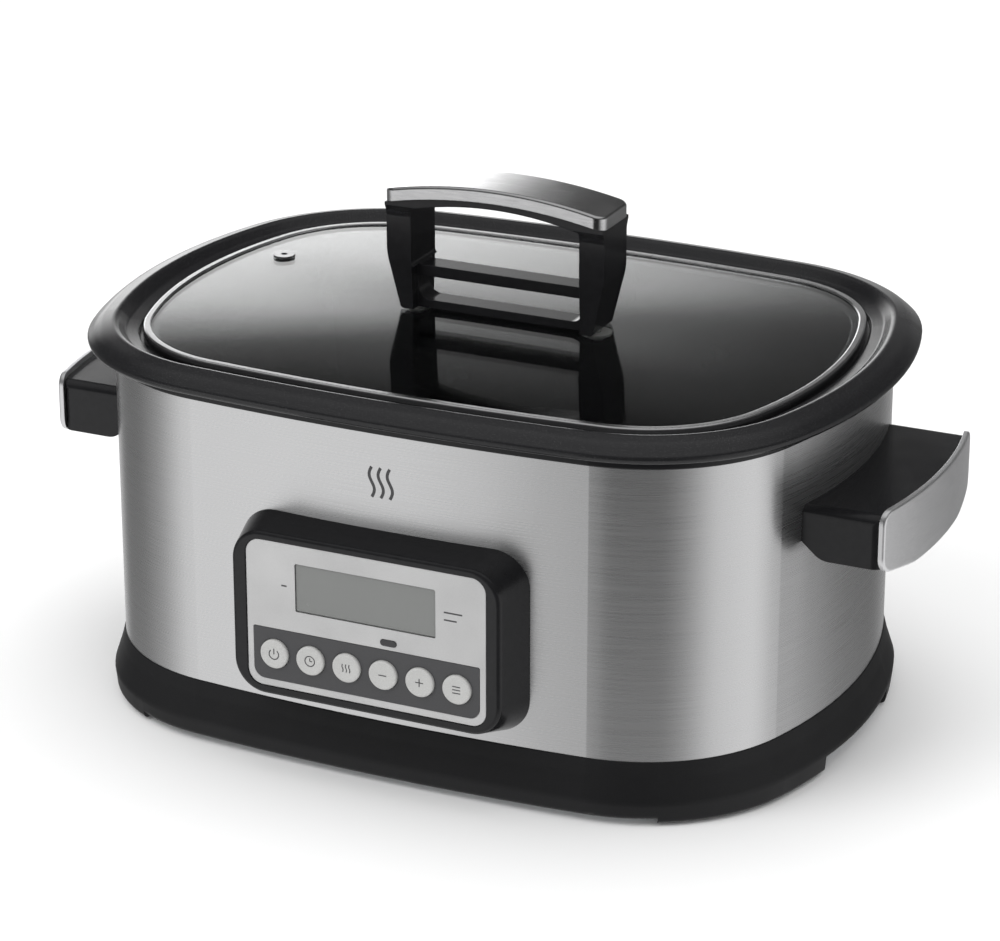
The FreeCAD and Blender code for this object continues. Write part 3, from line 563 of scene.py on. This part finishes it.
def printed_mark(name, strokes, surface, body, material, thickness=0.06 * MM):
    """A mark printed on a surface: each stroke is (flat points, width), and surface(u, v)
    gives the point of the surface and the direction out of it."""
    vertices = []
    faces = []
    for points, width in strokes:
        left, right = ribbon_sides(points, width)
        start = len(vertices)
        for a, b in zip(left, right):
            for flat, lift in ((a, 1), (b, 1), (b, -1), (a, -1)):
                point, outwards = surface(flat.x, flat.y)
                vertices.append(point + outwards * (thickness * lift))
        for index in range(len(points) - 1):
            low = start + 4 * index
            for side in range(4):
                following = (side + 1) % 4
                faces.append((low + side, low + following, low + 4 + following, low + 4 + side))
        end = start + 4 * (len(points) - 1)
        faces.append((start + 3, start + 2, start + 1, start))
        faces.append((end, end + 1, end + 2, end + 3))
    mesh = bpy.data.meshes.new(name)
    mesh.from_pydata([tuple(vertex) for vertex in vertices], [], faces)
    mesh.validate()
    mesh.materials.append(material)
    piece = bpy.data.objects.new(name, mesh)
    bpy.context.scene.collection.objects.link(piece)
    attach(piece, body)


def arc_points(radius, start, end, steps=24):
    """Points on an arc about the middle, in degrees anticlockwise from the right."""
    points = []
    for step in range(steps + 1):
        angle = math.radians(start + (end - start) * step / steps)
        points.append(Vector((radius * math.cos(angle), radius * math.sin(angle))))
    return points


def line_points(start, end):
    """Both ends of a straight stroke, and its middle."""
    return [Vector(start), (Vector(start) + Vector(end)) / 2, Vector(end)]


def wave_points(x, low, high, swing, steps=28):
    """An upright wavy line, as steam is drawn."""
    points = []
    for step in range(steps + 1):
        share = step / steps
        points.append(Vector((x + swing * math.sin(2 * math.pi * share), low + (high - low) * share)))
    return points


def button_icons():
    """Six plain pictograms: power, clock, heat, less, more and list."""
    line = 0.55 * MM
    size = 2.7 * MM
    half = size * 0.8
    power = [(arc_points(size, 130, 410), line), (line_points((0, 0), (0, size * 1.15)), line)]
    clock = [(arc_points(size, 0, 360, 36), line), (line_points((0, 0), (0, size * 0.62)), line)]
    clock.append((line_points((0, 0), (size * 0.5, 0)), line))
    heat = [(wave_points(shift * size * 0.7, -half, half, 0.3 * MM), line) for shift in (-1, 0, 1)]
    less = [(line_points((-half, 0), (half, 0)), line)]
    more = less + [(line_points((0, -half), (0, half)), line)]
    rows = [(line_points((-half, row * half * 0.8), (half, row * half * 0.8)), line) for row in (-1, 0, 1)]
    return [power, clock, heat, less, more, rows]


def mark_buttons(ink):
    """One pictogram on each button's dished face."""
    dish_radius = 60 * MM
    dish_depth = 0.35 * MM
    for index, strokes in enumerate(button_icons()):
        name = f"button_{index + 1}"
        low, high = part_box(name)
        middle = (low + high) / 2

        def dished(u, v, middle=middle, front=low.y + dish_depth):
            sunk = (u * u + v * v) / (2 * dish_radius)
            return Vector((middle.x + u, front - sunk, middle.z + v)), Vector((0, -1, 0))

        printed_mark(f"{name}_icon", strokes, dished, name, ink)


def mark_shell(ink):
    """Three steam waves on the steel above the control panel."""
    shell_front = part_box("outer_shell")[0].y
    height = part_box("panel_frame")[1].z + 25 * MM

    def front(u, v):
        bow = u * u / (2 * FRONT_RADIUS)
        return Vector((u, shell_front + bow, height + v)), Vector((0, -1, 0))

    spacing = 5 * MM
    half_height = 8 * MM
    swing = 1.4 * MM
    strokes = []
    for shift in (-1, 0, 1):
        strokes.append((wave_points(shift * spacing, -half_height, half_height, swing), 1.6 * MM))
    printed_mark("steam_mark", strokes, front, "housing", ink)


def mark_faceplate(ink):
    """Short bars beside the display, where a maker would print labels."""
    plate_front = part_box("panel_faceplate")[0].y
    window_low, window_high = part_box("display_window")

    def front(u, v):
        return Vector((u, plate_front, v)), Vector((0, -1, 0))

    line = 0.8 * MM
    right = window_high.x + 5 * MM
    left = window_low.x - 8 * MM
    middle = (window_low.z + window_high.z) / 2
    strokes = []
    for height, length in ((middle + 2 * MM, 10 * MM), (middle - 2 * MM, 7 * MM)):
        strokes.append((line_points((right, height), (right + length, height)), line))
    strokes.append((line_points((left, middle), (left + 3 * MM, middle)), line))
    printed_mark("panel_marks", strokes, front, "housing", ink)


# ---------------------------------------------------------------- studio

# Light that reflections see. A card's light is its screen value times the gain, because
# steel gives back only part of it.
STEEL_GAIN = 1.2
FLOOR_SHADE = 205
REAR_LIGHT = 2.6
HIGH_LIGHT = 0.04
TOP_LIGHT = 0.55

# Light that everything else sees
DOME_LIGHT = 0.95

# Elevations, in degrees, between which one part of the studio gives way to the next
FLOOR_FADE = (-38, -24)
HORIZON_FADE = (-3, 3)
CARD_FADE = (6, 14)

# Brightness round the horizon, as (degrees from +X, screen value): bright walls in front, on
# the right and behind, with dark cards between them.
CARDS = [
    (-180, 100), (-158, 140), (-132, 225), (-112, 228), (-100, 100), (-90, 34), (-54, 30),
    (-40, 120), (-20, 208), (10, 226), (34, 160), (58, 100), (84, 98), (119, 225), (134, 200),
    (152, 108), (180, 100),
]

# Where the wall of light behind the part stands, as (degrees from +X, share of full light).
REAR_SPAN = [(-180, 0.0), (84, 0.0), (109, 0.15), (119, 1.0), (132, 1.0), (150, 0.0), (180, 0.0)]

# How the light of that wall, and of the sky beside it, changes with height, as (degrees above
# the horizon, light): both are dark from 24 to 36 degrees, and lit again overhead.
REAR_RISE = [
    (0, REAR_LIGHT), (14, REAR_LIGHT), (16.5, 2.1), (19, 0.85), (21, 0.25), (24, HIGH_LIGHT),
    (36, HIGH_LIGHT), (62, TOP_LIGHT), (90, TOP_LIGHT),
]
SKY_RISE = [(0, HIGH_LIGHT), (36, HIGH_LIGHT), (62, TOP_LIGHT), (90, TOP_LIGHT)]


def card_light(value):
    """Light of a card that steel shows as a screen value from 0 to 255."""
    share = value / 255
    light = share / 12.92 if share <= 0.04045 else ((share + 0.055) / 1.055) ** 2.4
    return light * STEEL_GAIN


def ramp_of(tree, value, low, high, stops):
    """Greys along a value from low to high; each stop is (share of the way, linear light)."""
    scale = {"Value": value, "From Min": low, "From Max": high}
    share = add_node(tree, "ShaderNodeMapRange", inputs=scale).outputs["Result"]
    ramp = add_node(tree, "ShaderNodeValToRGB", inputs={"Fac": share})
    elements = ramp.color_ramp.elements
    while len(elements) < len(stops):
        elements.new(0.5)
    for element, (position, light) in zip(elements, stops):
        element.position = position
        element.color = (light, light, light, 1.0)
    return ramp.outputs["Color"]


def height_at(degrees):
    """Upward part of a direction of length 1 that many degrees above the horizon."""
    return math.sin(math.radians(degrees))


def faded(tree, height, low, high):
    """0 under one elevation in degrees, 1 over another."""
    limits = {"Value": height, "From Min": height_at(low), "From Max": height_at(high)}
    return add_node(tree, "ShaderNodeMapRange", inputs=limits).outputs["Result"]


def round_horizon(tree, turn, stops):
    """Light by direction round the horizon; each stop is (degrees from +X, light)."""
    shares = [((degrees + 180) / 360, light) for degrees, light in stops]
    return ramp_of(tree, turn, -math.pi, math.pi, shares)


def up_the_sky(tree, height, stops):
    """Light by height; each stop is (degrees above the horizon, light)."""
    return ramp_of(tree, height, 0.0, 1.0, [(height_at(degrees), light) for degrees, light in stops])


def make_world():
    """Plain white light, with cards and a rear wall of light that only reflections see."""
    world = bpy.data.worlds.new("studio")
    bpy.context.scene.world = world
    world.use_nodes = True
    tree = world.node_tree
    direction = add_node(tree, "ShaderNodeTexCoord").outputs["Generated"]
    parts = add_node(tree, "ShaderNodeSeparateXYZ", inputs={"Vector": direction}).outputs
    ends = {0: parts["Y"], 1: parts["X"]}
    turn = add_node(tree, "ShaderNodeMath", {"operation": "ARCTAN2"}, ends).outputs[0]
    height = parts["Z"]

    horizon = round_horizon(tree, turn, [(degrees, card_light(value)) for degrees, value in CARDS])
    below = mixed_colors(tree, faded(tree, height, *FLOOR_FADE), card_light(FLOOR_SHADE), horizon)
    sky = mixed_colors(tree, faded(tree, height, *CARD_FADE), horizon, up_the_sky(tree, height, SKY_RISE))
    span = round_horizon(tree, turn, REAR_SPAN)
    above = mixed_colors(tree, span, sky, up_the_sky(tree, height, REAR_RISE))

    mirror = mixed_colors(tree, faded(tree, height, *HORIZON_FADE), below, above)
    ray = add_node(tree, "ShaderNodeLightPath").outputs["Is Glossy Ray"]
    tree.links.new(mixed_colors(tree, ray, DOME_LIGHT, mirror), tree.nodes["Background"].inputs["Color"])


def softbox(name, place, target, size, power):
    """Square area light aimed at a point."""
    data = bpy.data.lights.new(name, "AREA")
    data.size = size
    data.energy = power
    light = bpy.data.objects.new(name, data)
    light.location = place
    aim = Vector(target) - Vector(place)
    light.rotation_euler = aim.to_track_quat("-Z", "Y").to_euler()
    light.visible_glossy = False
    bpy.context.scene.collection.objects.link(light)


def make_floor():
    """Pale seamless floor, kept out of mirror reflections so that the cards show there."""
    half = 9.0
    mesh = bpy.data.meshes.new("floor")
    corners = [(-half, -half, 0), (half, -half, 0), (half, half, 0), (-half, half, 0)]
    mesh.from_pydata(corners, [], [(0, 1, 2, 3)])
    finish = Finish("pale_floor", (0.9, 0.9, 0.9), 0.8)
    shade = finish.mixed(finish.noise(4, 3.0), (0.885, 0.885, 0.885), (0.915, 0.915, 0.915))
    finish.drive("Base Color", shade)
    mesh.materials.append(finish.material)
    floor = bpy.data.objects.new("floor", mesh)
    floor.visible_glossy = False
    bpy.context.scene.collection.objects.link(floor)


def make_camera():
    data = bpy.data.cameras.new("camera")
    data.lens = CAMERA_LENS
    data.sensor_width = 36
    azimuth = math.radians(CAMERA_AZIMUTH)
    elevation = math.radians(CAMERA_ELEVATION)
    back = Vector((
        math.sin(azimuth) * math.cos(elevation),
        -math.cos(azimuth) * math.cos(elevation),
        math.sin(elevation),
    ))
    camera = bpy.data.objects.new("camera", data)
    camera.rotation_euler = back.to_track_quat("Z", "Y").to_euler()
    camera.location = CAMERA_PLACE
    bpy.context.scene.collection.objects.link(camera)
    bpy.context.scene.camera = camera


# ---------------------------------------------------------------- scene

def main():
    bpy.context.scene.view_settings.view_transform = "Standard"
    materials = finish_nodes()
    ink = materials[INK_SLOT]
    mark_buttons(ink)
    mark_shell(ink)
    mark_faceplate(ink)
    make_pane(materials["clear_glass"])
    make_floor()
    make_world()
    softbox("key_light", (-1.2, -1.6, 2.2), (0, 0, 0.1), 1.6, 26)
    softbox("top_light", (0.3, 0.4, 2.6), (0, 0, 0.1), 2.2, 22)
    make_camera()


main()
